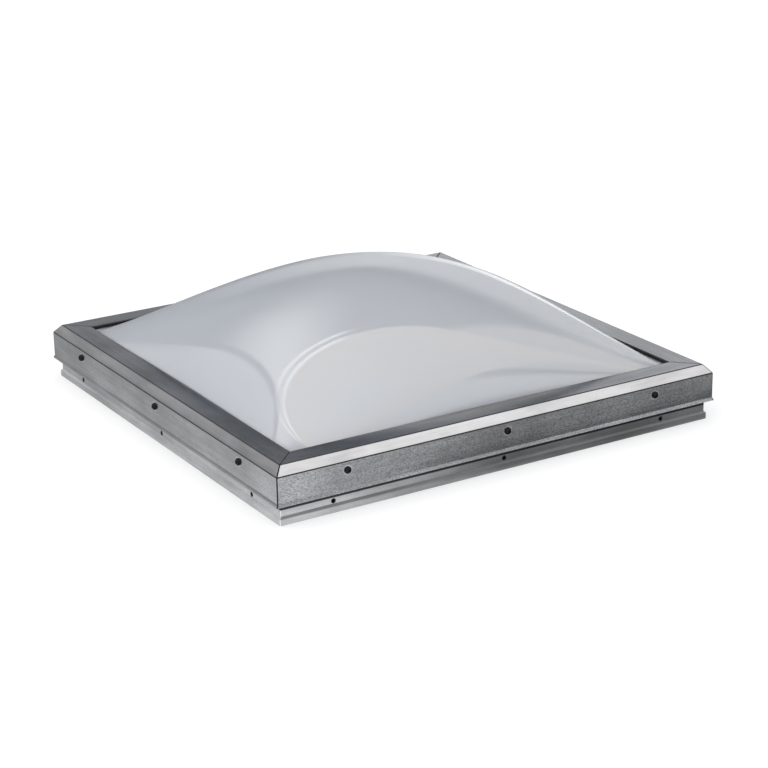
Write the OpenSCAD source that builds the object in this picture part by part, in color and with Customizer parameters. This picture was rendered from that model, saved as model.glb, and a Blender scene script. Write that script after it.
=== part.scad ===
// Square curb-mounted roof skylight: a white acrylic dome over a clear one, clamped on an
// aluminium curb frame by four mitred retainer caps.
//
// Frame: origin on the axis of the dome, at the bottom edge of the curb frame's legs, +Z up.
// Front is -Y, right is +X. Every straight piece is drawn on the right-hand side, as a section
// whose first coordinate is the distance from the axis and whose second is the height.

/* [Overall] */
// Width over the skirts of two opposite retainer caps
side = 680; // [520:1:1200]
// Height from the bottom edge of the legs to the top of the caps
frame_h = 79; // [68:1:110]
// Rise of the white dome above its flat rim
dome_rise = 121; // [80:1:200]

/* [Retainer cap] */
// Width of the cap's flat top
cap_face_w = 31.9; // [28:0.1:45]
// Width of the bevel between top and skirt
cap_bevel_w = 10.4; // [8:0.1:16]
// Height of the bevel
cap_bevel_h = 11.8; // [6:0.1:13]
// Wall of the cap
cap_t = 2; // [1.5:0.1:2.4]
// How far the drip edge flares out at the foot of the skirt
cap_flare = 1.8; // [0.5:0.1:4]
// Height of the flared drip edge
cap_flare_h = 4.5; // [3:0.1:8]
// Height of the stop rib behind the glazing strip
cap_rib_h = 2.4; // [1:0.1:2.6]
// Width of the fine groove rolled along each bend
groove_w = 1.1; // [0.6:0.1:1.6]
// Depth of that groove
groove_depth = 0.7; // [0.3:0.1:0.9]
// Open joint between two mitred caps
cap_mitre_gap = 0.8; // [0:0.1:2]

/* [Curb frame] */
// Height of the leg that shows below the cap's skirt
leg_show = 27.5; // [20:0.5:40]
// Setback of the leg's face behind the cap's skirt
leg_setback = 8; // [7:0.1:14]
// Wall of the leg
leg_t = 1.8; // [1.5:0.1:2.5]
// Height of the upright lip at the foot of the leg
lip_h = 8.5; // [5:0.1:10]
// How far the lip stands out from the leg
lip_out = 2.4; // [1:0.1:4]
// Height of the slope between lip and leg
lip_slope_h = 2.8; // [2:0.1:5]
// Width of the seat under the domes' rims, on top of the hollow box
seat_w = 16; // [14.5:0.1:22]
// Wall of the box on its three plain sides
box_t = 1.8; // [1.5:0.1:2.5]
// Wall of the box that the cap screws bite into
screw_wall_t = 3; // [2:0.1:4]
// How far the cap's skirt laps down past the foot of the box
skirt_lap = 4.5; // [3:0.5:12]
// Gap between the box and the inside of the skirt
skirt_gap = 0.4; // [0.3:0.1:1]
// Width of the condensation gutter
gutter_w = 18; // [12:0.5:22]
// Height of the gutter's inner lip
gutter_h = 12; // [6:0.5:20]
// Height of the fin that keeps the domes centred
fin_h = 8; // [5:0.1:9]
// Thickness of that fin
fin_t = 1.8; // [1.5:0.1:2.5]

/* [Fixing holes] */
// Diameter of the holes for the curb screws
hole_d = 5.5; // [4:0.1:8]
// Height of those holes above the foot of the leg
hole_z = 15.3; // [14.5:0.1:18]
// Distance from the leg's end to the outer holes
hole_end = 75; // [40:1:120]
// Diameter of the weep holes through the box
weep_d = 5; // [3:0.1:8]
// Distance from the axis to each weep hole
weep_y = 130; // [60:1:180]

/* [Domes] */
// Thickness of both acrylic sheets
acrylic_t = 3.2; // [2:0.1:4.5]
// Flat rim outside the white dome's rise
dome_rim = 24.5; // [20:0.5:28]
// Gap between the white dome's rise and the cap's edge
dome_clear = 0.2; // [0:0.1:3]
// How much narrower the clear dome's rise is, on each side
inner_inset = 8; // [6:0.5:20]
// How much lower the clear dome is
inner_drop = 20; // [12:1:50]
// Fullness of the dome's plan: a larger number is squarer
dome_plan = 1.86; // [1.6:0.01:2.4]
// Fullness of the dome's section: a smaller number is steeper at the rim
dome_full = 0.68; // [0.55:0.01:0.9]
// Softness of the turn from rim to rise
dome_turn = 0.03; // [0.015:0.005:0.08]

/* [Seals] */
// Thickness of the glazing strip under the cap
strip_t = 3.4; // [2.8:0.1:5]
// Width of the glazing strip
strip_w = 12; // [8:0.5:16]
// Thickness of the foam tape between the domes
spacer_t = 2; // [1.5:0.1:4]
// Thickness of the butyl tape under the clear dome
sill_t = 1.6; // [1:0.1:3]
// Width of both tapes
tape_w = 12; // [6:0.5:12]
// Distance from the rim's edge to the tapes
tape_edge = 2; // [1:0.5:3]
// Thickness of the foam seal on the curb
curb_seal_t = 4; // [3:0.5:8]
// Width of the foam seal on the curb
curb_seal_w = 25; // [15:1:27]
// Distance from the leg to the foam seal
curb_seal_inset = 9; // [4:0.5:12]
// Width, along the side, of a rubber setting block
block_w = 30; // [15:1:60]
// Thickness of a setting block
block_t = 3.6; // [2:0.1:5]
// Gap on each side of a setting block
block_gap = 0.2; // [0.1:0.1:0.5]
// Distance from the axis to each setting block
block_y = 160; // [80:1:190]

/* [Cap screws] */
// Outside diameter of a cap screw's thread
screw_d = 4.8; // [3.5:0.1:6]
// Length of a cap screw under its head
screw_l = 19; // [12:0.5:22]
// Diameter of the pan head
head_d = 8.4; // [7:0.1:10]
// Height of the pan head
head_h = 3; // [2:0.1:4]
// Height of the head's crown above its upright rim
crown_h = 2; // [1:0.1:2]
// Length of one slot of the cross recess
recess_l = 4.6; // [3:0.1:5]
// Width of a slot of the recess
recess_w = 1.3; // [0.8:0.1:2]
// Depth of the recess
recess_depth = 1.8; // [1:0.1:2]
// Length of the screw's point
point_l = 3.4; // [2:0.1:6]
// Diameter of the blunt end of that point
point_d = 1.4; // [0.5:0.1:3]
// Distance of the screws below the seat of the domes
screw_drop = 8.1; // [7:0.1:12]
// Distance from the cap's end to the outer screws
screw_end = 100; // [85:1:130]
// Gap round a screw in the box's wall
thread_gap = 0.1; // [0.05:0.05:0.2]
// Gap round a screw in the cap's skirt
skirt_hole_gap = 0.35; // [0.2:0.05:0.6]
// Outside diameter of a sealing washer
washer_d = 9.6; // [8:0.1:12]
// Thickness of a sealing washer
washer_t = 1.2; // [0.8:0.1:2]

/* [Corner keys] */
// Length of each arm of a corner key
key_l = 62; // [45:1:75]
// Wall of a corner key
key_t = 3; // [2:0.1:5]
// Gap between key and box
key_gap = 0.3; // [0.2:0.1:0.6]

/* [Hidden] */

$fn = 48;
over = 1;
mill = "#9a9ea3";
rubber = "#17181a";
RIGHT = 0;
BACK = 90;
LEFT = 180;
FRONT = 270;
SIDES = [RIGHT, BACK, LEFT, FRONT];

// Distances from the axis
half = side / 2;
bevel_in = half - cap_bevel_w;
cap_in = bevel_in - cap_face_w;
skirt_in = half - cap_t;
leg_out = half - leg_setback;
leg_in = leg_out - leg_t;
box_out = skirt_in - skirt_gap;
dome_half = cap_in - dome_clear;
rim_out = dome_half + dome_rim;
box_in = rim_out - seat_w;
box_w = box_out - box_in;
gutter_in = box_in - gutter_w;
fin_in = rim_out + block_t + 2 * block_gap;
tape_out = rim_out - tape_edge;
curb_seal_out = leg_in - curb_seal_inset;

// Heights, from the caps down
cap_under = frame_h - cap_t;
outer_rim_z = cap_under - strip_t;
spacer_z = outer_rim_z - acrylic_t - spacer_t;
inner_rim_z = spacer_z;
seat_z = inner_rim_z - acrylic_t - sill_t;
box_z = leg_show + skirt_lap;
screw_z = seat_z - screw_drop;
weep_z = box_z + box_t + weep_d / 2;

// Places along a side
screw_y = [-(half - screw_end), 0, half - screw_end];
hole_y = [-(leg_out - hole_end), 0, leg_out - hole_end];

// Shapes of the bends
bevel_len = norm([cap_bevel_w, cap_bevel_h]);
bevel_dir = [cap_bevel_w, -cap_bevel_h] / bevel_len;
bevel_normal = [-cap_bevel_h, -cap_bevel_w] / bevel_len;
bevel_angle = atan(cap_bevel_h / cap_bevel_w);

function unit(v) = v / norm(v);

// Distance that a bend of a wall moves along it, from the outer face to the inner one
function bend_shift(wall, angle) = wall * tan(angle / 2);

// ---- Shared helpers ------------------------------------------------------------------

// Turns a piece drawn on the right-hand side to another side
module on_side(angle) rotate([0, 0, angle]) children();

// A section [distance, height] run along the right-hand side and mitred at both ends
module mitred_bar(section, reach, gap = 0) {
    cut = gap / sqrt(2);
    low = min([for (p = section) p[1]]) - over;
    high = max([for (p = section) p[1]]) + over;
    intersection() {
        translate([0, reach, 0])
            rotate([90, 0, 0])
                linear_extrude(2 * reach) polygon(section);
        translate([0, 0, low])
            linear_extrude(high - low)
                polygon([[cut, 0], [reach + cut, -reach], [reach + cut, reach]]);
    }
}

// Round holes through a wall of the right-hand side
module side_holes(places, z, d, from, to) {
    for (y = places)
        translate([from, y, z]) rotate([0, 90, 0]) cylinder(h = to - from, d = d);
}

// A flat square ring
module square_ring(outer, width, z, t) {
    translate([0, 0, z]) difference() {
        translate([-outer, -outer, 0]) cube([2 * outer, 2 * outer, t]);
        translate([width - outer, width - outer, -over])
            cube([2 * (outer - width), 2 * (outer - width), t + 2 * over]);
    }
}

// ---- Retainer caps -------------------------------------------------------------------

cap_section = let (
    bend_top = [bevel_in, frame_h],
    bend_low = [half, frame_h - cap_bevel_h],
    g = groove_w / 2,
    in_top = unit([0, -1] + bevel_normal) * groove_depth,
    in_low = unit([-1, 0] + bevel_normal) * groove_depth,
    foot = leg_show,
    flare_z = foot + cap_flare_h,
    flare_shift = bend_shift(cap_t, atan(cap_flare / cap_flare_h)),
    rib = cap_in + strip_w
) [
    [cap_in, cap_under],
    [cap_in, frame_h],
    bend_top - [g, 0],
    bend_top + in_top,
    bend_top + g * bevel_dir,
    bend_low - g * bevel_dir,
    bend_low + in_low,
    bend_low - [0, g],
    [half, flare_z],
    [half + cap_flare, foot],
    [skirt_in + cap_flare, foot],
    [skirt_in, flare_z - flare_shift],
    [skirt_in, bend_low[1] - bend_shift(cap_t, 90 - bevel_angle)],
    [bevel_in - bend_shift(cap_t, bevel_angle), cap_under],
    [rib + cap_t, cap_under],
    [rib + cap_t, cap_under - cap_rib_h],
    [rib, cap_under - cap_rib_h],
    [rib, cap_under]
];

module retainer() {
    color(mill) difference() {
        mitred_bar(cap_section, half + cap_flare, cap_mitre_gap);
        side_holes(screw_y, screw_z, screw_d + 2 * skirt_hole_gap, skirt_in - over, half + over);
    }
}
module retainer_front() on_side(FRONT) retainer();
module retainer_right() on_side(RIGHT) retainer();
module retainer_back() on_side(BACK) retainer();
module retainer_left() on_side(LEFT) retainer();

// ---- Curb frame ----------------------------------------------------------------------

frame_section = let (
    slope_top = lip_h + lip_slope_h,
    shift = bend_shift(leg_t, atan(lip_out / lip_slope_h)),
    fin_out = fin_in + fin_t,
    fin_top = seat_z + fin_h,
    gutter_floor = box_z + box_t,
    gutter_top = box_z + gutter_h
) [
    [leg_out + lip_out, 0],
    [leg_out + lip_out, lip_h],
    [leg_out, slope_top],
    [leg_out, box_z],
    [box_out, box_z],
    [box_out, seat_z],
    [fin_out, seat_z],
    [fin_out, fin_top],
    [fin_in, fin_top],
    [fin_in, seat_z],
    [box_in, seat_z],
    [box_in, gutter_floor],
    [gutter_in + box_t, gutter_floor],
    [gutter_in + box_t, gutter_top],
    [gutter_in, gutter_top],
    [gutter_in, box_z],
    [leg_in, box_z],
    [leg_in, slope_top - shift],
    [leg_in + lip_out, lip_h - shift],
    [leg_in + lip_out, 0]
];

module curb_frame() {
    hollow_w = box_w - box_t - screw_wall_t;
    color(mill) difference() {
        mitred_bar(frame_section, box_out);
        translate([box_in + box_t, -box_out, box_z + box_t])
            cube([hollow_w, 2 * box_out, seat_z - box_z - 2 * box_t]);
        side_holes(screw_y, screw_z, screw_d + 2 * thread_gap, box_out - screw_wall_t - over, box_out + over);
        side_holes(hole_y, hole_z, hole_d, leg_in - over, leg_out + over);
        side_holes([-weep_y, weep_y], weep_z, weep_d, box_in - over, box_out + over);
    }
}
module curb_frame_front() on_side(FRONT) curb_frame();
module curb_frame_right() on_side(RIGHT) curb_frame();
module curb_frame_back() on_side(BACK) curb_frame();
module curb_frame_left() on_side(LEFT) curb_frame();

// Cast L-shaped key in the hollow of the box, drawn in the front right corner
module corner_key() {
    outer = box_out - screw_wall_t - key_gap;
    arm_w = box_w - box_t - screw_wall_t - 2 * key_gap;
    low = box_z + box_t + key_gap;
    arm_h = seat_z - box_z - 2 * box_t - 2 * key_gap;
    tail = outer - key_l;
    inner = outer - arm_w;
    color("#85898d") difference() {
        translate([0, 0, low]) linear_extrude(arm_h) polygon([
            [outer, -outer], [outer, -tail], [inner, -tail], [inner, -inner], [tail, -inner], [tail, -outer]
        ]);
        translate([inner + key_t, -inner + key_t, low + key_t])
            cube([arm_w - 2 * key_t, key_l - arm_w - 2 * key_t, arm_h]);
        translate([tail + key_t, -outer + key_t, low + key_t])
            cube([key_l - arm_w - 2 * key_t, arm_w - 2 * key_t, arm_h]);
    }
}
module corner_key_front_right() corner_key();
module corner_key_back_right() rotate([0, 0, 90]) corner_key();
module corner_key_back_left() rotate([0, 0, 180]) corner_key();
module corner_key_front_left() rotate([0, 0, 270]) corner_key();

// ---- Domes ---------------------------------------------------------------------------

// Share of the full rise at u, v, each from -1 to 1 across the dome: flat at the rim,
// steep along the sides and lazy in the corners, as a sheet blown up over a square hole
function swell(u, v) =
    abs(u) >= 1 || abs(v) >= 1 ? 0 :
    let (s = pow((1 - pow(abs(u), dome_plan)) * (1 - pow(abs(v), dome_plan)), dome_full))
    (sqrt(s * s + dome_turn * dome_turn) - dome_turn) / (sqrt(1 + dome_turn * dome_turn) - dome_turn);

// A dome and its flat rim, of even thickness, its upper face at rim_z along the rim
module dome(width, rise, rim_z) {
    cells = 28;
    probe = 0.02;
    lines = concat(
        [-rim_out],
        [for (i = [0 : cells]) width * sin(90 * (2 * i / cells - 1))],
        [rim_out]
    );
    n = len(lines);
    function top_z(x, y) = rim_z + rise * swell(x / width, y / width);
    function normal(x, y) = unit([
        (top_z(x - probe, y) - top_z(x + probe, y)) / (2 * probe),
        (top_z(x, y - probe) - top_z(x, y + probe)) / (2 * probe),
        1
    ]);
    upper = [for (y = lines) for (x = lines) [x, y, top_z(x, y)]];
    lower = [for (p = upper) p - acrylic_t * normal(p[0], p[1])];
    rim = concat(
        [for (i = [0 : n - 2]) i],
        [for (i = [0 : n - 2]) i * n + n - 1],
        [for (i = [n - 1 : -1 : 1]) (n - 1) * n + i],
        [for (i = [n - 1 : -1 : 1]) i * n]
    );
    below = n * n;
    cell_corners = [for (j = [0 : n - 2]) for (i = [0 : n - 2]) j * n + i];
    faces = concat(
        [for (a = cell_corners) [a, a + n, a + 1]],
        [for (a = cell_corners) [a + 1, a + n, a + n + 1]],
        [for (a = cell_corners) [below + a, below + a + 1, below + a + n]],
        [for (a = cell_corners) [below + a + 1, below + a + n + 1, below + a + n]],
        [for (k = [0 : len(rim) - 1]) let (b = rim[(k + 1) % len(rim)]) [rim[k], b, below + b]],
        [for (k = [0 : len(rim) - 1]) let (b = rim[(k + 1) % len(rim)]) [rim[k], below + b, below + rim[k]]]
    );
    polyhedron(points = concat(upper, lower), faces = faces, convexity = 4);
}
module outer_dome() color("#e4e7ea") dome(dome_half, dome_rise, outer_rim_z);
module inner_dome() color("#c9dce4", 0.5) dome(dome_half - inner_inset, dome_rise - inner_drop, inner_rim_z);

// ---- Seals ---------------------------------------------------------------------------

// Rubber strip between cap and dome, with two grooves in its underside
module glazing_strip() {
    groove = 1;
    middle = cap_in + strip_w / 2;
    pitch = strip_w / 5;
    section = [
        [cap_in, outer_rim_z],
        [cap_in, cap_under],
        [cap_in + strip_w, cap_under],
        [cap_in + strip_w, outer_rim_z],
        [middle + pitch + groove, outer_rim_z],
        [middle + pitch, outer_rim_z + groove],
        [middle + pitch - groove, outer_rim_z],
        [middle - pitch + groove, outer_rim_z],
        [middle - pitch, outer_rim_z + groove],
        [middle - pitch - groove, outer_rim_z]
    ];
    color(rubber) mitred_bar(section, cap_in + strip_w);
}
module glazing_strip_front() on_side(FRONT) glazing_strip();
module glazing_strip_right() on_side(RIGHT) glazing_strip();
module glazing_strip_back() on_side(BACK) glazing_strip();
module glazing_strip_left() on_side(LEFT) glazing_strip();

module dome_spacer_tape() color("#2b2c2e") square_ring(tape_out, tape_w, spacer_z, spacer_t);
module sill_tape() color("#3a3b3d") square_ring(tape_out, tape_w, seat_z, sill_t);
module curb_seal() color("#222325") square_ring(curb_seal_out, curb_seal_w, box_z - curb_seal_t, curb_seal_t);

// Two rubber blocks on each side, between the domes' rims and the fin
module setting_blocks() {
    high = outer_rim_z - seat_z - over;
    color(rubber)
        for (angle = SIDES) on_side(angle)
            for (y = [-block_y, block_y])
                translate([rim_out + block_gap, y - block_w / 2, seat_z]) cube([block_t, block_w, high]);
}

// ---- Cap screws ----------------------------------------------------------------------

// Puts a piece drawn along +Z, from the cap's skirt outwards, at every cap screw
module at_cap_screws() {
    for (angle = SIDES) on_side(angle)
        for (y = screw_y)
            translate([half, y, screw_z]) rotate([0, 90, 0]) children();
}

// Pan-head screw with a cross recess, its head's seat at z = 0
module cap_screw() {
    crown_r = (head_d * head_d / 4 + crown_h * crown_h) / (2 * crown_h);
    difference() {
        union() {
            translate([0, 0, point_l - screw_l]) cylinder(h = screw_l - point_l, d = screw_d);
            translate([0, 0, -screw_l]) cylinder(h = point_l, d1 = point_d, d2 = screw_d);
            intersection() {
                cylinder(h = head_h, d = head_d);
                translate([0, 0, head_h - crown_r]) sphere(r = crown_r);
            }
        }
        for (angle = [0, 90]) rotate([0, 0, angle])
            translate([-recess_l / 2, -recess_w / 2, head_h - recess_depth])
                cube([recess_l, recess_w, recess_depth + over]);
    }
}
module retaining_screws() color("#2a2b2d") at_cap_screws() translate([0, 0, washer_t]) cap_screw();

module sealing_washers() {
    color(rubber) at_cap_screws() difference() {
        cylinder(h = washer_t, d = washer_d);
        translate([0, 0, -over]) cylinder(h = washer_t + 2 * over, d = screw_d + 2 * thread_gap);
    }
}

// ---- The nodes -----------------------------------------------------------------------

outer_dome();
inner_dome();
retainer_front();
retainer_right();
retainer_back();
retainer_left();
curb_frame_front();
curb_frame_right();
curb_frame_back();
curb_frame_left();
glazing_strip_front();
glazing_strip_right();
glazing_strip_back();
glazing_strip_left();
corner_key_front_right();
corner_key_back_right();
corner_key_back_left();
corner_key_front_left();
dome_spacer_tape();
sill_tape();
curb_seal();
setting_blocks();
retaining_screws();
sealing_washers();
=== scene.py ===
# %% [markdown]
# # A roof skylight, finished in Blender
#
# The skylight is a white acrylic dome over a clear one. Four mitred aluminium caps clamp both
# onto a hollow aluminium frame, which laps over a curb on the roof. The construction comes from
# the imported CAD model, which is loaded as a fixed frame: nothing in it is moved or resized. This
# lesson gives the frame its finishes, and makes again, as smooth meshes, the pieces whose curves
# or fine edges the CAD model leaves plain.

from math import cos, pi, radians, sin

import bmesh
import bpy
from mathutils import Matrix, Vector


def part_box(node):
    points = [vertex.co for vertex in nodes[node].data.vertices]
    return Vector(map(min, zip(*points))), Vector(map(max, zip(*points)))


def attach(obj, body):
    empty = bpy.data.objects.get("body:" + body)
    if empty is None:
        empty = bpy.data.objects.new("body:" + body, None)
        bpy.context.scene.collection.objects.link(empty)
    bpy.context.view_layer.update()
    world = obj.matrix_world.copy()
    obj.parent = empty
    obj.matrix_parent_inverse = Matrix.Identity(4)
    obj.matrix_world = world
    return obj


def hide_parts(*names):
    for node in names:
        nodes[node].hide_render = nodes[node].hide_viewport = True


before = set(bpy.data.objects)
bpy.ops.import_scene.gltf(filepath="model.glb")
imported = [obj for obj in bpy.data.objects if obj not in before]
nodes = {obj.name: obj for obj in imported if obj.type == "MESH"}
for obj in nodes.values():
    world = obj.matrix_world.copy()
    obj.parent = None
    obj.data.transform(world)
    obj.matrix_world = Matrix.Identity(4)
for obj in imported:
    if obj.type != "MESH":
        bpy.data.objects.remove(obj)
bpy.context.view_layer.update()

# %% [markdown]
# ## Sizes
#
# Every place is read from the boxes of the CAD nodes, in metres, so a piece lands where the
# frame has its stand-in. Only what a box can't tell, such as the thickness of the sheet, is
# written down here, in millimetres as a maker would say it.

# %% Read the sizes that the new pieces share
mm = 0.001
SIDES = ("front", "right", "back", "left")
frame_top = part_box("retainer_right")[1].z
rim_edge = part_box("outer_dome")[1].x
cap_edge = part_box("retainer_right")[0].x
foot_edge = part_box("retainer_right")[1].x
sheet = 3.2 * mm
cap_flare = 1.8 * mm
bevel_wide = 10.4 * mm
bevel_high = 11.8 * mm
skirt_edge = foot_edge - cap_flare
print(f"rim edge {rim_edge:.4f}, cap edge {cap_edge:.4f}, caps' top {frame_top:.4f}")
print(f"skirt edge {skirt_edge:.4f}, foot edge {foot_edge:.4f}")

# %% [markdown]
# ## One way to hand over a piece
#
# A bmesh is Blender's workbench for a mesh: operators start and shape it, and it becomes an
# object when it is done. Each finished piece rides on the one body that this fixed skylight has,
# and says which CAD nodes it stands for. The object itself stays at the origin, and the piece's
# place is in its mesh.

# %% Turn a bmesh into a piece
def hand_over(name, bm, slot, *stood_for):
    mesh = bpy.data.meshes.new(name)
    bm.to_mesh(mesh)
    bm.free()
    piece = bpy.data.objects.new(name, mesh)
    bpy.context.scene.collection.objects.link(piece)
    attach(piece, "root")
    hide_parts(*stood_for)
    print(f"{name}: {len(mesh.polygons)} faces, for {', '.join(stood_for)}")
    return piece


# %% [markdown]
# ## The two domes
#
# A skylight dome starts as a flat sheet of acrylic. It is heated, clamped round its edge and
# blown up like a bubble over a square hole, so it is steep along the middle of each side, lazy in
# the corners, and stays flat where the clamp held it. A sphere or a subdivided box can't give
# that shape. Here a grid is pulled up by a formula for the bubble, its lines crowded towards the
# rim, where the sheet turns sharply. Then its border is extruded outwards for the flat rim, and
# the sheet gets its thickness last, so that the wall is even everywhere.

# %% Blow a sheet up over a square hole
PLAN = 1.86  # fullness of the dome's plan
SECTION = 0.68  # fullness of its section
TURN = 0.03  # softness of the turn from rim to rise
CELLS = 132


def swell(u, v):
    """Share of the full rise at u, v, which run from -1 to 1 across the dome."""
    bulge = max(0.0, (1 - abs(u) ** PLAN) * (1 - abs(v) ** PLAN)) ** SECTION
    full = (1 + TURN**2) ** 0.5 - TURN
    return ((bulge**2 + TURN**2) ** 0.5 - TURN) / full


def blown_sheet(reach, rise, rim_z):
    bm = bmesh.new()
    bmesh.ops.create_grid(bm, x_segments=CELLS, y_segments=CELLS, size=1)
    for vert in bm.verts:
        u = sin(vert.co.x * pi / 2)
        v = sin(vert.co.y * pi / 2)
        vert.co = (u * reach, v * reach, rim_z + rise * swell(u, v))
    border = [edge for edge in bm.edges if edge.is_boundary]
    rim = bmesh.ops.extrude_edge_only(bm, edges=border)["geom"]
    outer = [part for part in rim if isinstance(part, bmesh.types.BMVert)]
    bmesh.ops.scale(bm, vec=(rim_edge / reach, rim_edge / reach, 1), verts=outer)
    bmesh.ops.recalc_face_normals(bm, faces=bm.faces)
    upwards = sum(face.normal.z for face in bm.faces) > 0
    if not upwards:
        bmesh.ops.reverse_faces(bm, faces=bm.faces)
    bmesh.ops.solidify(bm, geom=bm.faces[:], thickness=sheet)
    return bm


# %% [markdown]
# The sawn edge of the sheet is scraped, so its two corners get a small round. Everything is
# smooth-shaded: the sheet has no crease anywhere but at that edge. The opal dome fills the
# opening of the caps, and the clear one stands a little way inside it, as it is blown from a
# smaller hole.

# %% Soften the sawn edge
SCRAPED = 0.4 * mm  # the round that a scraper leaves
OPAL_INSET = 0.2 * mm  # from the caps' inner edge to the foot of the opal dome
CLEAR_INSET = 8.2 * mm  # the same for the clear dome
STEEP = radians(60)  # only a sharper turn than this is a sawn corner


def scrape_edge(bm, radius):
    bm.normal_update()
    corners = [
        edge
        for edge in bm.edges
        if max(abs(c) for v in edge.verts for c in v.co.xy) > rim_edge - 0.01 * mm
        and edge.is_manifold
        and edge.calc_face_angle() > STEEP
        and abs(edge.verts[0].co.z - edge.verts[1].co.z) < radius
    ]
    bmesh.ops.bevel(
        bm,
        geom=corners,
        offset=radius,
        offset_type="OFFSET",
        affect="EDGES",
        segments=2,
        profile=0.5,
        material=-1,
        clamp_overlap=True,
    )
    for face in bm.faces:
        face.smooth = True


def rim_face(node):
    """Height of a dome's upper face along its flat rim."""
    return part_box(node)[0].z + sheet


def make_dome(name, node, inset, slot):
    low = rim_face(node)
    bm = blown_sheet(cap_edge - inset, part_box(node)[1].z - low, low)
    scrape_edge(bm, SCRAPED)
    return hand_over(name, bm, slot, node)


opal_dome = make_dome("opal_dome", "outer_dome", OPAL_INSET, "white_acrylic")
clear_dome = make_dome("clear_dome", "inner_dome", CLEAR_INSET, "clear_acrylic")
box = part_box("outer_dome")
print("opal dome's CAD box:", [round(c, 4) for corner in box for c in corner])

# %% [markdown]
# ## Caps and frame
#
# An extrusion never has a knife edge: the die rounds every corner by a few tenths of a
# millimetre, and that round is what catches a thin line of light along a cap. The CAD bars have
# the right section, mitres and holes but sharp corners. So each bar is copied, its loose
# triangles are merged back into flat faces, and a small bevel runs along its long edges. The
# sawn mitres stay sharp, as a saw leaves them.

# %% Round the long edges of a CAD bar
FLAT = radians(0.5)  # triangles that turn less than this are one face
CORNER = radians(18)  # an edge that turns more than this is a corner of the section
LONG_EDGE = 200 * mm  # the edges along a bar are longer than this, those of its holes aren't
DIE_ROUND = 0.22 * mm


def rounded_bar(node, radius):
    bm = bmesh.new()
    bm.from_mesh(nodes[node].data)
    bmesh.ops.remove_doubles(bm, verts=bm.verts, dist=0.001 * mm)
    bmesh.ops.dissolve_limit(bm, angle_limit=FLAT, verts=bm.verts, edges=bm.edges, delimit={"NORMAL"})
    long_edges = [
        edge
        for edge in bm.edges
        if edge.is_manifold and edge.calc_length() > LONG_EDGE and edge.calc_face_angle() > CORNER
    ]
    bmesh.ops.bevel(
        bm,
        geom=long_edges,
        offset=radius,
        offset_type="OFFSET",
        affect="EDGES",
        segments=2,
        profile=0.5,
        material=-1,
        clamp_overlap=True,
    )
    return bm


def open_edges(bm):
    return sum(not edge.is_manifold for edge in bm.edges)


caps = []
bars = []
for side in SIDES:
    cap = rounded_bar(f"retainer_{side}", DIE_ROUND)
    bar = rounded_bar(f"curb_frame_{side}", DIE_ROUND)
    print(side, "open edges:", open_edges(cap), open_edges(bar))
    caps.append(hand_over(f"cap_{side}", cap, "cap_aluminium", f"retainer_{side}"))
    bars.append(hand_over(f"frame_{side}", bar, "frame_aluminium", f"curb_frame_{side}"))

# %% [markdown]
# ## Wiring a material
#
# A material is a graph of nodes. Written out link by link it is long and hard to read, so one
# small class holds a socket, and arithmetic on it adds Math nodes. Any other node comes from
# node(): first the node's settings, then a value or another Wire for each of its sockets.

# %% A socket that can be calculated with
class Wire:
    def __init__(self, tree, socket=None):
        self.tree = tree
        self.socket = socket

    def node(self, kind, settings=None, sockets=None, out=0):
        """Any other node: its settings first, then values or wires for its sockets."""
        made = self.tree.nodes.new("ShaderNode" + kind)
        for name, value in (settings or {}).items():
            setattr(made, name, value)
        for key, value in (sockets or {}).items():
            if isinstance(value, Wire):
                self.tree.links.new(value.socket, made.inputs[key])
            else:
                made.inputs[key].default_value = value
        return Wire(self.tree, made.outputs[out] if made.outputs else None)

    def math(self, operation, *terms):
        return self.node("Math", {"operation": operation}, dict(enumerate(terms)))

    def __add__(self, other):
        return self.math("ADD", self, other)

    def __sub__(self, other):
        return self.math("SUBTRACT", self, other)

    def __mul__(self, other):
        return self.math("MULTIPLY", self, other)

    def __truediv__(self, other):
        return self.math("DIVIDE", self, other)

    def __rsub__(self, other):
        return self.math("SUBTRACT", other, self)

    def __gt__(self, other):
        return self.math("GREATER_THAN", self, other)

    def __abs__(self):
        return self.math("ABSOLUTE", self)

    __radd__ = __add__
    __rmul__ = __mul__


# %% [markdown]
# Every material starts empty, and most patterns start from the point on the piece in metres.
# Object coordinates give that, and they stay with the piece wherever it goes.

# %% Start a material and read its coordinates
def new_material(name):
    material = bpy.data.materials.new(name)
    material.use_nodes = True
    material.node_tree.nodes.clear()
    print("material:", name)
    return material, Wire(material.node_tree)


def axes(start):
    """The three coordinates of the point, in metres."""
    point = start.node("TexCoord", out="Object")
    return [start.node("SeparateXYZ", {}, {0: point}, out=axis) for axis in range(3)]


def vector(x, y, z):
    return x.node("CombineXYZ", {}, {0: x, 1: y, 2: z})


# %% [markdown]
# The rest of a pattern is made of noises and masks. A mask is a value from 0 to 1 that says where
# a finish is, and its ends are soft, because a hard edge looks cut out. Masks then share out two
# colours, or bend the light as a bump.

# %% Noises, masks, blends and bumps
def noise(place, detail=2.0, rough=0.5, scale=1.0):
    """A noise from 0 to 1 with its middle at 0.5; place is a vector that is already scaled."""
    sockets = {"Vector": place, "Scale": scale, "Detail": detail, "Roughness": rough}
    return place.node("TexNoise", {}, sockets, out=0)


def spread(value, low, high):
    """value's range from low to high stretched to 0 to 1, with soft ends."""
    settings = {"interpolation_type": "SMOOTHSTEP"}
    sockets = {"Value": value, "From Min": low, "From Max": high}
    return value.node("MapRange", settings, sockets)


def between(value, low, high, blur):
    """1 from low to high, with soft ends."""
    return spread(value, low - blur, low + blur) * (1 - spread(value, high - blur, high + blur))


def near(value, reach):
    """1 where value is close to 0, and 0 past reach on both sides."""
    return 1 - spread(abs(value), reach * 0.55, reach)


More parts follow.
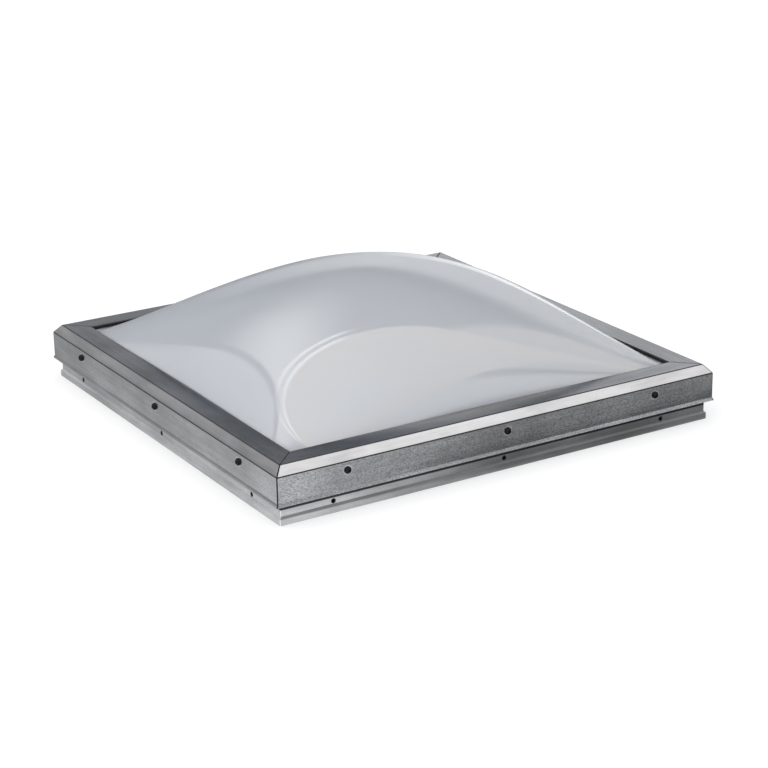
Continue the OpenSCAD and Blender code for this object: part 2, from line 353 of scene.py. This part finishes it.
def blend(share, first, second):
    """The colour first where share is 0, and second where it is 1."""
    ends = [c if isinstance(c, Wire) else (*c, 1) for c in (first, second)]
    sockets = {0: share, 6: ends[0], 7: ends[1]}
    return share.node("Mix", {"data_type": "RGBA"}, sockets, out=2)


def bump(height, strength, depth, under=None):
    """Normals bent by a height from 0 to 1 that stands for depth, in metres."""
    sockets = {"Height": height, "Strength": strength, "Distance": depth}
    if under is not None:
        sockets["Normal"] = under
    return height.node("Bump", {}, sockets)


def finish_with(material, shader):
    """Wire the shader to the material's output."""
    shader.node("OutputMaterial", {}, {"Surface": shader})
    return material


# %% [markdown]
# ## Opal acrylic
#
# Opal sheet is white all through. About half of the light that falls on it comes back from
# inside, the rest goes on into the room below, and the surface itself is as smooth as glass. A
# subsurface shader could do that, but it is slow and noisy on a thin wall. So the material is a
# glossy white plastic mixed with a shader that lets light through to the other side. The mix
# weakens the gloss as well, so the plastic starts out glossier than acrylic is. The white is a
# little creamier here and bluer there, a dark line of painted shade with some dirt runs along the
# foot, and blown sheet keeps a very slight wave, which bends the long reflections a little.

# %% Make the opal acrylic
ACRYLIC_IOR = 1.49
OPAL_THROUGH = 0.55  # share of the light that goes on through the sheet
OPAL_GLOSS = 1.0  # the usual is 0.5
OPAL_SKIN = 1.65  # refraction of the outermost skin, above that of acrylic
OPAL_CREAM = (0.662, 0.706, 0.76)
OPAL_BLUE = (0.642, 0.69, 0.752)
OPAL_INSIDE = (0.652, 0.698, 0.756)  # between the two, for the light that goes through
# painted shade with some dirt: a near-black line along the dome's foot, where the caps meet it
RIM_SHADE_AND_DIRT = (0.012, 0.012, 0.013)
RIM_SHADE_AND_DIRT_DEPTH = 0.94
RIM_SHADE_AND_DIRT_START = 3.6 * mm  # from the caps' edge
RIM_SHADE_AND_DIRT_FULL = 2.0 * mm


def rim_shade_and_dirt(x, y):
    """Painted shade, with some dirt, where the dome meets the caps."""
    foot = x.math("MAXIMUM", abs(x), abs(y))
    return spread(foot, cap_edge - RIM_SHADE_AND_DIRT_START, cap_edge - RIM_SHADE_AND_DIRT_FULL)


def opal_acrylic():
    material, start = new_material("opal acrylic")
    x, y, z = axes(start)
    place = vector(x, y, z)
    wave = noise(place, scale=6.0, detail=1.0)
    cloud = noise(place, scale=5.0, detail=1.0)
    shade = blend(spread(cloud, 0.2, 0.8), OPAL_BLUE, OPAL_CREAM)
    sockets = {
        "Base Color": blend(rim_shade_and_dirt(x, y) * RIM_SHADE_AND_DIRT_DEPTH, shade, RIM_SHADE_AND_DIRT),
        "Roughness": 0.03 + cloud * 0.02,
        "IOR": ACRYLIC_IOR,
        "Specular IOR Level": OPAL_GLOSS,
        "Coat Weight": 1.0,
        "Coat Roughness": 0.03,
        "Coat IOR": OPAL_SKIN,
        "Normal": bump(wave, 0.2, 1.0 * mm),
    }
    front = start.node("BsdfPrincipled", {}, sockets)
    through = start.node("BsdfTranslucent", {}, {"Color": (*OPAL_INSIDE, 1)})
    return finish_with(
        material, start.node("MixShader", {}, {0: OPAL_THROUGH, 1: front, 2: through})
    )


opal_dome.data.materials.append(opal_acrylic())

# %% [markdown]
# ## Clear acrylic
#
# The inner dome is the same sheet without the white in it. Acrylic bends light like glass, and a
# thick sheet is faintly blue-green.

# %% Make the clear acrylic
def clear_acrylic():
    material, start = new_material("clear acrylic")
    x, y, z = axes(start)
    haze = noise(vector(x, y, z), scale=20.0, detail=2.0)
    sockets = {
        "Base Color": (0.93, 0.97, 0.98, 1),
        "Roughness": 0.01 + haze * 0.02,
        "IOR": ACRYLIC_IOR,
        "Transmission Weight": 1.0,
    }
    return finish_with(material, start.node("BsdfPrincipled", {}, sockets))


clear_dome.data.materials.append(clear_acrylic())

# %% [markdown]
# ## Mill-finish aluminium
#
# The caps and the frame are left as they came from the press. Such metal is never even: fine
# lines run along the bar where the die dragged, broad clouds of oxide dull it here and there, and
# the rolled grain sparkles in light that grazes it. All four bars share one material, so the
# first step is to know which way a bar runs: left and right bars lie where the distance to the
# side is larger than the distance to the front, and on them the long way is Y. Each noise is
# then stretched along the bar by giving it fewer waves a metre that way than across.

# %% Coordinates along and across a bar
def bar_directions(start):
    """Along a bar, away from the part's axis, height, and 1 on the left and right bars."""
    x, y, z = axes(start)
    on_flank = abs(x) > abs(y)
    along = x + (y - x) * on_flank
    across = y + (x - y) * on_flank
    return along, abs(across), z, on_flank


# waves a metre along a bar and across it
DIE_LINES = (5, 260)
FINE_LINES = (14, 900)
CLOUDS = (9, 22)
GRAIN = (430, 860)


# how much of its own shade the metal keeps where it is dull, bright, pitted, or rubbed or lit by a
# painted highlight
DULL = 0.78
BRIGHT = 1.2
PITTED = 0.3
RUBBED_AND_HIGHLIGHT = 1.9


def stretched(along, away, z, waves):
    return vector(along * waves[0], away * waves[1], z * waves[1])


def tinted(shade, share):
    return [tone * share for tone in shade]


def mill_aluminium(name, shade, grain_depth, line_depth, rough, marks):
    material, start = new_material(name)
    along, away, z, flank = bar_directions(start)
    lines = noise(stretched(along, away, z, DIE_LINES), detail=3.0)
    fine_lines = noise(stretched(along, away, z, FINE_LINES), detail=2.0)
    clouds = noise(stretched(along, away, z, CLOUDS), detail=3.0, rough=0.6)
    grain = noise(stretched(along, away, z, GRAIN), detail=2.0, rough=0.6)
    drag = lines * 0.6 + fine_lines * 0.4
    # the marks bring painted shade mixed with grime, and rubbed wear mixed with painted highlights
    shade_and_grime, rubbed_and_highlight, grainy = marks(along, away, z, flank)
    oxide = spread(clouds * 0.6 + drag * 0.4, 0.36, 0.64)
    pits = spread(grain, 0.4, 0.66) * grainy * 0.62
    colour = blend(oxide, tinted(shade, DULL), tinted(shade, BRIGHT))
    colour = blend(pits, colour, tinted(shade, PITTED))
    colour = blend(rubbed_and_highlight * (0.15 + clouds * 1.3), colour, tinted(shade, RUBBED_AND_HIGHLIGHT))
    colour = blend(shade_and_grime, colour, SHADE_AND_GRIME_COLOUR)
    rolled = bump(grain * grainy, 0.8, grain_depth)
    dragged = bump(drag, 0.5, line_depth, rolled)
    sockets = {
        "Base Color": colour,
        "Metallic": 1.0 - shade_and_grime * 0.9,
        "Roughness": rough - 0.07 + clouds * 0.14 + shade_and_grime * 0.4,
        "Normal": dragged,
    }
    return finish_with(material, start.node("BsdfPrincipled", {}, sockets))


# %% [markdown]
# Grime settles where water stands, in the open mitres. Painted shade with some grime darkens the
# two fine grooves along the cap's bends and the edge that the dome rises from. On the frame,
# painted shade with grime lies under the drip edge and round the curb holes, and painted shade on
# the small slope above the lip. The screws' washers have rubbed a bright ring round themselves.
# The bevels of the front and back caps carry a painted highlight and those of the left and right
# ones a painted shade, and a painted highlight runs down each corner of the frame. Each mark is a
# distance to a line or a point, so it stays where the part has it.

# %% Painted shade, grime, rubbed rings and painted highlights
# the colour of painted shade mixed with grime
SHADE_AND_GRIME_COLOUR = (0.006, 0.0065, 0.008)
GROOVE_REACH = 1.25 * mm
LOW_GROOVE_REACH = 1.15 * mm
MITRE_REACH = 1.7 * mm
RIM_REACH = 1.1 * mm
CORNER_REACH = 1.0 * mm
SOFT_END = 1 * mm
RING_RADIUS = 5.6 * mm
RING_REACH = 1.3 * mm
SLOPE_HEIGHT = 9.9 * mm
SLOPE_REACH = 2.2 * mm
SCREW_HEIGHT = 55.5 * mm
SCREW_PITCH = 240 * mm
HOLE_HEIGHT = 15.3 * mm
HOLE_PITCH = 257 * mm
# painted shade with some dirt round each curb hole
HOLE_SHADE_AND_DIRT = (3.0 * mm, 3.9 * mm)  # it ends between these distances from a hole's middle
# painted shade with grime under the drip edge lies between these heights
DRIP_START = (19.0 * mm, 20.4 * mm)
DRIP_END = (29 * mm, 31 * mm)


def line_mark(away, z, line_away, line_z, reach):
    side = away - line_away
    rise = z - line_z
    gap = away.math("SQRT", side * side + rise * rise)
    return near(gap, reach)


def from_nearest(along, z, pitch, height):
    """Distance to the nearest of three points: the middle one and two a pitch away."""
    to_outer = abs(along) - pitch
    sideways = along.math("MINIMUM", abs(along), abs(to_outer))
    rise = z - height
    return along.math("SQRT", sideways * sideways + rise * rise)


def cap_marks(along, away, z, flank):
    """Painted shade with grime, rubbed rings with painted highlights, and rolled grain of a cap."""
    # painted shade with some grime in the two fine grooves along the cap's bends
    top_groove = line_mark(away, z, skirt_edge - bevel_wide, frame_top, GROOVE_REACH)
    low_groove = line_mark(away, z, skirt_edge, frame_top - bevel_high, LOW_GROOVE_REACH)
    mitre = near(abs(along) - away, MITRE_REACH)
    # painted shade along the cap's inner edge, in the gap where the dome rises
    inner_edge = near(away - cap_edge, RIM_REACH)
    shade_and_grime = away.math("MAXIMUM", top_groove, low_groove)
    shade_and_grime = away.math("MAXIMUM", shade_and_grime, mitre)
    shade_and_grime = away.math("MAXIMUM", shade_and_grime, inner_edge * 0.8)
    gap = from_nearest(along, z, SCREW_PITCH, SCREW_HEIGHT)
    ring = near(gap - RING_RADIUS, RING_REACH)
    # painted highlight on the bevels of the front and back caps, painted shade on those of the left
    # and right ones
    bend = frame_top - bevel_high
    on_bevel = spread(z, bend, bend + SOFT_END) * (1 - spread(z, frame_top - SOFT_END, frame_top))
    rubbed_and_highlight = away.math("MAXIMUM", ring * 0.5, on_bevel * (1 - flank) * 0.5)
    shade_and_grime = away.math("MAXIMUM", shade_and_grime, on_bevel * flank * 0.4)
    on_skirt = 1 - spread(z, bend - SOFT_END, bend)
    return shade_and_grime, rubbed_and_highlight, on_skirt * (0.95 - flank * 0.6) + 0.05


def frame_marks(along, away, z, flank):
    """Painted shade with grime, a painted highlight down the corner, and rolled grain of a frame bar.
    """
    # painted shade with some grime under the drip edge, and painted shade on the slope above the lip,
    # more on the front and back bars
    under_drip = spread(z, *DRIP_START) * (1 - spread(z, *DRIP_END))
    slope = near(z - SLOPE_HEIGHT, SLOPE_REACH)
    # a painted highlight runs down each corner of the frame
    corner = near(abs(along) - away, CORNER_REACH)
    shade_and_grime = away.math("MAXIMUM", under_drip * 0.98, slope * (0.4 - flank * 0.36))
    # painted shade with some dirt round each curb hole
    gap = from_nearest(along, z, HOLE_PITCH, HOLE_HEIGHT)
    shade_and_grime = away.math("MAXIMUM", shade_and_grime, 1 - spread(gap, *HOLE_SHADE_AND_DIRT))
    return shade_and_grime, corner * (1 - under_drip), flank * 0.1 + 0.2


# %% [markdown]
# The caps are the darker metal, with fine drag lines and a rolled grain that shows on the front
# and back skirts. The frame is a paler, duller extrusion with deeper drag lines and little grain.
# Both come from the one recipe, with the shade, the two depths, the roughness and the marks as
# its settings.

# %% Two aluminium finishes
cap_metal = mill_aluminium(
    "cap aluminium",
    shade=(0.315, 0.322, 0.334),
    grain_depth=0.2 * mm,
    line_depth=0.018 * mm,
    rough=0.19,
    marks=cap_marks,
)
frame_metal = mill_aluminium(
    "frame aluminium",
    shade=(0.39, 0.397, 0.408),
    grain_depth=0.06 * mm,
    line_depth=0.1 * mm,
    rough=0.36,
    marks=frame_marks,
)
for piece in caps:
    piece.data.materials.append(cap_metal)
for piece in bars:
    piece.data.materials.append(frame_metal)

# %% [markdown]
# ## Small parts
#
# The corner keys are die-cast: grey, slightly pitted metal. Strips, blocks and washers are black
# rubber with a soft, dusty surface, the tapes and the curb seal are closed-cell foam, and the cap
# screws have a black oxide skin that is still a little shiny.

# %% Cast metal, rubber, foam and blackened steel
def cast_aluminium():
    material, start = new_material("cast aluminium")
    x, y, z = axes(start)
    place = vector(x, y, z)
    pits = noise(place, scale=900.0, detail=2.0)
    stains = noise(place, scale=60.0, detail=3.0)
    sockets = {
        "Base Color": blend(spread(stains, 0.35, 0.65), (0.33, 0.335, 0.34), (0.43, 0.435, 0.44)),
        "Metallic": 1.0,
        "Roughness": 0.48 + stains * 0.14,
        "Normal": bump(pits, 0.5, 0.12 * mm),
    }
    return finish_with(material, start.node("BsdfPrincipled", {}, sockets))


def black_rubber():
    material, start = new_material("black rubber")
    x, y, z = axes(start)
    place = vector(x, y, z)
    dust = noise(place, scale=150.0, detail=3.0)
    skin = noise(place, scale=1500.0, detail=1.0)
    sockets = {
        "Base Color": blend(spread(dust, 0.4, 0.8), (0.012, 0.012, 0.013), (0.028, 0.028, 0.03)),
        "Roughness": 0.5 + dust * 0.25,
        "Specular IOR Level": 0.2,
        "Normal": bump(skin, 0.3, 0.05 * mm),
    }
    return finish_with(material, start.node("BsdfPrincipled", {}, sockets))


def foam_tape():
    material, start = new_material("foam tape")
    x, y, z = axes(start)
    place = vector(x, y, z)
    cells = place.node("TexVoronoi", {}, {"Vector": place, "Scale": 900.0}, out="Distance")
    sockets = {
        "Base Color": blend(spread(cells, 0.1, 0.7), (0.05, 0.05, 0.054), (0.02, 0.02, 0.022)),
        "Roughness": 0.85 + cells * 0.1,
        "Normal": bump(cells, 0.7, 0.3 * mm),
    }
    return finish_with(material, start.node("BsdfPrincipled", {}, sockets))


def blackened_steel():
    material, start = new_material("blackened steel")
    x, y, z = axes(start)
    place = vector(x, y, z)
    wear = noise(place, scale=700.0, detail=2.0)
    sockets = {
        "Base Color": blend(spread(wear, 0.45, 0.8), (0.006, 0.006, 0.007), (0.02, 0.02, 0.022)),
        "Roughness": 0.42 + wear * 0.2,
        "Specular IOR Level": 0.15,
        "Normal": bump(wear, 0.2, 0.03 * mm),
    }
    return finish_with(material, start.node("BsdfPrincipled", {}, sockets))


# %% [markdown]
# These parts keep their CAD shape, so each finish goes onto the node's own material slots.

# %% Give the CAD parts their finish
def paint(material, *starts):
    painted = [name for name in nodes if name.startswith(starts)]
    for name in painted:
        mesh = nodes[name].data
        mesh.materials.clear()
        mesh.materials.append(material)
    print(material.name, "on", ", ".join(painted))


paint(cast_aluminium(), "corner_key")
paint(black_rubber(), "glazing_strip", "setting_blocks", "sealing_washers")
paint(foam_tape(), "dome_spacer_tape", "sill_tape", "curb_seal")
paint(blackened_steel(), "retaining_screws")

# %% [markdown]
# ## Floor
#
# The skylight stands on a wide pale floor, large enough that its far edge is out of view. A
# catalogue picture is taken on a lit table and set on white afterwards, so the floor does both
# jobs. To the eye it is a pale sheet, half of its light coming from behind, so that the contact
# shadow stays faint, with painted shade, a black mat, inside the legs, so that the holes look into a
# dark hollow.
# Every other ray meets a table that gives off its own light: a pool at the front left corner, a
# shade along the right of the front, and a light far side. That is what the metal mirrors. From
# below the floor is see-through, so that the underside of the part can be looked at.

# %% Lay the floor
FLOOR_REACH = 14.0
FLOOR_WHITE = (0.86, 0.93, 1.0)
BACKLIGHT = 0.5
MAT_REACH = 0.325
MAT_EDGE = 0.005
# painted shade: the black mat inside the legs stands in for the shade of the hollow
SHADE_MAT_BLACK = (0.02, 0.02, 0.02)
POOL = (-0.26, -0.58)  # where the pool of light lies
POOL_SQUASH = (1.9, 0.6)  # it is narrow from side to side and long from front to back
POOL_REACH = 0.75
POOL_TONE = 1.35
TABLE_TONE = 0.68
BEHIND_LEFT = 0.5
BEHIND_RIGHT = 2.2
BEHIND_TURN = (19, 50)  # degrees round between the left and the right tone
BEHIND_START = (0.42, 1.1)
SHADE_DEPTH = 0.68
SHADE_ALONG = (-0.3, 0.05)  # where the part's own shade sets in, from left to right
SHADE_ACROSS = (-0.42, -0.33)


def table_seen(x, y):
    """Brightness of the table that the metal and the dome mirror."""
    away_x = (x - POOL[0]) * POOL_SQUASH[0]
    away_y = (y - POOL[1]) * POOL_SQUASH[1]
    away = x.math("SQRT", away_x * away_x + away_y * away_y)
    tone = POOL_TONE + spread(away, 0.0, POOL_REACH) * (TABLE_TONE - POOL_TONE)
    shade = between(y, *SHADE_ACROSS, 0.02) * spread(x, *SHADE_ALONG)
    tone = tone * (1 - shade * SHADE_DEPTH)
    turned = x.math("ARCTAN2", x, y) * (180 / pi)
    behind = spread(turned, *BEHIND_TURN) * (BEHIND_RIGHT - BEHIND_LEFT) + BEHIND_LEFT
    return tone + (behind - tone) * spread(y, *BEHIND_START)


def floor_material():
    material, start = new_material("pale floor")
    x, y, z = axes(start)
    reach = x.math("MAXIMUM", abs(x), abs(y))
    open_table = spread(reach, MAT_REACH - MAT_EDGE, MAT_REACH)
    tone = table_seen(x, y)
    eye = start.node("LightPath", out="Is Camera Ray")
    below = start.node("NewGeometry", out="Backfacing")
    white = blend(open_table, SHADE_MAT_BLACK, FLOOR_WHITE)
    pale = start.node("BsdfDiffuse", {}, {"Color": white})
    lit = start.node("Emission", {}, {"Color": (1, 1, 1, 1)})
    pale = start.node("MixShader", {}, {0: open_table * BACKLIGHT, 1: pale, 2: lit})
    glow = start.node("Emission", {}, {"Color": vector(tone, tone, tone)})
    front = start.node("MixShader", {}, {0: eye, 1: glow, 2: pale})
    gone = start.node("BsdfTransparent")
    return finish_with(material, start.node("MixShader", {}, {0: below, 1: front, 2: gone}))


def lay_floor():
    bm = bmesh.new()
    bmesh.ops.create_grid(bm, x_segments=1, y_segments=1, size=FLOOR_REACH)
    mesh = bpy.data.meshes.new("floor")
    bm.to_mesh(mesh)
    bm.free()
    mesh.materials.append(floor_material())
    floor = bpy.data.objects.new("floor", mesh)
    bpy.context.scene.collection.objects.link(floor)
    print("floor:", 2 * FLOOR_REACH, "m across")


lay_floor()

# %% [markdown]
# ## Studio light
#
# A glossy dome shows everything round it, so it is shot in a light tent: soft white panels, and
# dark gaps between them that give the dome its shape. The tent is far larger than the part, so
# it is drawn on the world itself, which could also be done with lamps, but their edges would be
# harder to place. Each panel is a patch of the sky given in degrees round (0 is straight behind
# the part, 90 to its right) and above the horizon, with how soft its edges are and how bright it
# is. One panel fades away to its right, and a card stands on the right with a leaning edge.

# %% Patches of the tent
GLOOM = (0.14, 0.155, 0.18)
HIGH_GLOOM = (0.3, 0.31, 0.33)
CEILING_LOW = (1.92, 1.66, 1.42)
CEILING_HIGH = (1.7, 1.7, 1.7)
CEILING_CHANGE = (60, 76)  # degrees above the horizon between the two
SEAM = (3.7, 3.6, 3.5)
# each panel: turned from, to, blur; height from, to, blur; red, green and blue brightness
PANELS = {
    "left wall": (-175, -10.5, 0.8, 9, 62, 1.2, (1.2, 1.25, 1.3)),
    "left fill": (-165, -50, 12.0, 12, 80, 8, (2.3, 2.4, 2.5)),
    "above the gap": (-8, 60, 0.8, 38, 58, 9, (2.0, 1.98, 1.95)),
    "right wall": (61, 103, 3.0, 25, 62, 4, (1.3, 1.2, 1.15)),
    "key": (112, 156, 6.0, 37, 60, 5, (1.72, 1.67, 1.63)),
    "low glow": (-14, 12, 6.0, 4, 25, 5, (0.36, 0.39, 0.44)),
    "low front": (120, 180, 8.0, 6, 30, 5, (1.3, 1.3, 1.3)),
}
FADES = {"above the gap": (0, 30)}  # the degrees round over which a panel fades to its right
CARD = (1.12, 1.12, 1.14)
CARD_EDGE = (4, 34)
CARD_END = (62, 80)
CARD_LEAN = 2.7  # degrees to the right for each degree up, from CARD_FOOT on
CARD_FOOT = 14


def card(turned, height):
    """The card on the right: its soft left edge leans to the right as it rises."""
    above = height.math("MAXIMUM", height - CARD_FOOT, 0.0)
    return spread(turned - above * CARD_LEAN, *CARD_EDGE) * (1 - spread(turned, *CARD_END))


def panel_light(turned, height):
    """The gloom of the tent, with the panels and the card in it."""
    light = blend(spread(height, 0, 60) * 0.4, GLOOM, HIGH_GLOOM)
    for name, panel in PANELS.items():
        low_turn, high_turn, blur, low, high, soft, colour = panel
        patch = between(turned, low_turn, high_turn, blur) * between(height, low, high, soft)
        if name in FADES:
            patch = patch * (1 - spread(turned, *FADES[name]))
        light = blend(patch, light, colour)
    return blend(card(turned, height), light, CARD)


# %% [markdown]
# The ceiling's edges show on the dome as the long curves that tell its shape, so they are drawn
# as straight lines on a flat ceiling, and a direction in the sky is first carried up to it. The
# two seams are the bright gaps between the ceiling and the frame that it hangs from.

# %% Hang the ceiling
FAR_TURN = 29  # the way that the ceiling's far edge faces, in degrees round
RIGHT_TURN = 138  # the same for its right edge
FAR_EDGE = (0.64, 0.655)
RIGHT_EDGE = (0.55, 0.60)
NEAR_EDGE = (-2.6, -1.6)
LEFT_EDGE = (-2.2, -1.4)
SEAMS = ((0.632, 0.652), (0.676, 0.694))
SEAM_BLUR = 0.004
SEAM_TURN = (-7, 24)


def on_ceiling(x, y, z, turn):
    """Distance on the ceiling in the direction turn, from the point over the part."""
    up = z.math("MAXIMUM", z, 0.02)
    return x / up * sin(radians(turn)) + y / up * cos(radians(turn))


def hang_ceiling(light, turned, height, x, y, z):
    far = on_ceiling(x, y, z, FAR_TURN)
    right = on_ceiling(x, y, z, RIGHT_TURN)
    ceiling = (
        (1 - spread(far, *FAR_EDGE))
        * (1 - spread(right, *RIGHT_EDGE))
        * spread(far, *NEAR_EDGE)
        * spread(right, *LEFT_EDGE)
        * spread(z, 0.0, 0.1)
    )
    white = blend(spread(height, *CEILING_CHANGE), CEILING_LOW, CEILING_HIGH)
    first, second = SEAMS
    seams = between(far, *first, SEAM_BLUR) + between(far, *second, SEAM_BLUR)
    light = blend(ceiling, light, white)
    return blend(seams * between(turned, *SEAM_TURN, 6), light, SEAM)


# %% [markdown]
# The world then shows the tent to every ray but the camera's own, and plain white to those.

# %% Draw the tent on the world
def tent():
    world = bpy.data.worlds.new("light tent")
    bpy.context.scene.world = world
    world.use_nodes = True
    world.node_tree.nodes.clear()
    start = Wire(world.node_tree)
    way = start.node("TexCoord", out="Generated")
    x, y, z = [start.node("SeparateXYZ", {}, {0: way}, out=axis) for axis in range(3)]
    turned = start.math("ARCTAN2", x, y) * (180 / pi)
    height = start.math("ARCSINE", z) * (180 / pi)
    light = hang_ceiling(panel_light(turned, height), turned, height, x, y, z)
    seen = start.node("LightPath", out="Is Camera Ray")
    tent_light = start.node("Background", {}, {"Color": light, "Strength": 1.0})
    backdrop = start.node("Background", {}, {"Color": (1, 1, 1, 1), "Strength": 1.0})
    shown = start.node("MixShader", {}, {0: seen, 1: tent_light, 2: backdrop})
    start.node("OutputWorld", {}, {"Surface": shown})
    print("tent:", len(world.node_tree.nodes), "nodes")


tent()
bpy.context.scene.view_settings.view_transform = "Standard"

# %% [markdown]
# ## Camera
#
# The camera looks down a little from the front left with a long lens, as a catalogue picture is
# taken. It aims at the middle of the caps' top plane, from a given turn and height, and leans
# a degree to one side.

# %% Place the camera
LENS = 101.35
TURN_ROUND = radians(-31.113)
HEIGHT = radians(19.829)
LEAN = radians(-1.049)
DISTANCE = 3.05774
AIM_RIGHT = 0.016997
AIM_UP = -0.057403


def place_camera():
    right = Vector((cos(TURN_ROUND), sin(TURN_ROUND), 0))
    back = Vector(
        (sin(TURN_ROUND) * cos(HEIGHT), -cos(TURN_ROUND) * cos(HEIGHT), sin(HEIGHT))
    )
    up = back.cross(right)
    place = Vector((0, 0, frame_top)) + back * DISTANCE + right * AIM_RIGHT + up * AIM_UP
    lean = Matrix.Rotation(LEAN, 3, back)
    turned = Matrix((right, up, back)).transposed()
    data = bpy.data.cameras.new("camera")
    data.lens = LENS
    data.sensor_width = 36
    camera = bpy.data.objects.new("camera", data)
    bpy.context.scene.collection.objects.link(camera)
    camera.matrix_world = Matrix.Translation(place) @ (lean @ turned).to_4x4()
    bpy.context.scene.camera = camera
    print("camera at", [round(c, 3) for c in place])


place_camera()
